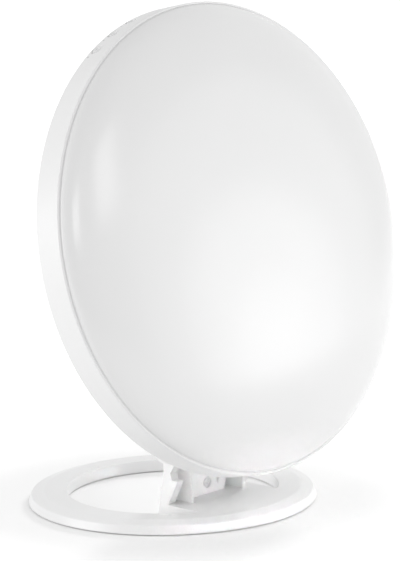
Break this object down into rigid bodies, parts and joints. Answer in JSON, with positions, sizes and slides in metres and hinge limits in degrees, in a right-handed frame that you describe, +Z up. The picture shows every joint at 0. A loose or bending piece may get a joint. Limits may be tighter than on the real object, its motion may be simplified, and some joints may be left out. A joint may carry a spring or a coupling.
{
  "type": "light therapy lamp",
  "caption": "Round daylight therapy lamp with a domed opal lens in a slim rim, push buttons on the rim and a tilting hinge on a flat ring base.",
  "frame": {"origin": "centre of the ring base on the table top, under the middle of the non-slip ring", "axes": "+Z up; the lamp faces -Y and leans back by 13.8 degrees; +X is to the right of someone who looks at the lit face"},
  "size_m": [0.3, 0.1948, 0.325],
  "materials": {
    "white_gloss": "gloss",
    "white_satin": "satin",
    "opal_acrylic": "gloss",
    "diffusing_film": "matte",
    "grey_rubber": "matte",
    "steel": "satin",
    "nylon": "satin",
    "board_aluminium": "satin",
    "phosphor": "satin",
    "board_green": "satin",
    "ferrite": "matte",
    "can_aluminium": "satin",
    "black_plastic": "satin",
    "nickel": "polished",
    "indicator_chip": "gloss",
    "smoke_acrylic": "gloss"
  },
  "bodies": {
    "base": {"base_ring": "white_gloss", "base_cover": "white_satin", "base_screws": "steel", "base_ballast": "steel", "non_slip_ring": "grey_rubber", "hinge_bracket": "white_gloss", "tongue_cover": "white_satin", "bracket_screws": "steel", "bracket_cover": "white_gloss", "bracket_cover_screw": "steel", "hinge_pin": "steel", "spring_washer": "steel", "hinge_nut": "steel", "friction_washers": "nylon", "hinge_cap_left": "white_gloss", "hinge_cap_right": "white_gloss"},
    "lamp": {"rim": "white_gloss", "lamp_bracket": "white_gloss", "rear_shell": "white_satin", "driver_housing": "white_satin", "key_strip": "white_satin", "reflector_tray": "white_satin", "lens": "opal_acrylic", "diffusing_sheet": "diffusing_film", "lamp_bracket_screws": "steel", "rear_shell_screws": "steel", "housing_screws": "steel", "led_board_screws": "steel", "driver_screws": "steel", "led_board": "board_aluminium", "leds": "phosphor", "driver_board": "board_green", "driver_coil": "ferrite", "driver_capacitors": "can_aluminium", "driver_chips": "black_plastic", "dc_inlet": "black_plastic", "key_switches": "black_plastic", "dc_inlet_pin": "nickel", "indicator_leds": "indicator_chip", "indicator_windows": "smoke_acrylic"},
    "level_key": {"level_button": "white_gloss", "level_plunger": "nylon"},
    "power_key": {"power_button": "white_gloss", "power_plunger": "nylon"},
    "timer_key": {"timer_button": "white_gloss", "timer_plunger": "nylon"}
  },
  "joints": [
    {"name": "lamp_tilt", "type": "hinge", "parent": "base", "child": "lamp", "pos_m": [0, -0.036, 0.047], "axis": [-1, 0, 0], "range_deg": [-15, 30]},
    {"name": "level_press", "type": "slide", "parent": "lamp", "child": "level_key", "axis": [0.2504, -0.2309, -0.9402], "range_m": [0, 0.0008], "stiffness_N_per_m": 700, "springref_m": -0.0005},
    {"name": "power_press", "type": "slide", "parent": "lamp", "child": "power_key", "axis": [0.3665, -0.2219, -0.9036], "range_m": [0, 0.0008], "stiffness_N_per_m": 700, "springref_m": -0.0005},
    {"name": "timer_press", "type": "slide", "parent": "lamp", "child": "timer_key", "axis": [0.4772, -0.2096, -0.8534], "range_m": [0, 0.0008], "stiffness_N_per_m": 700, "springref_m": -0.0005}
  ]
}
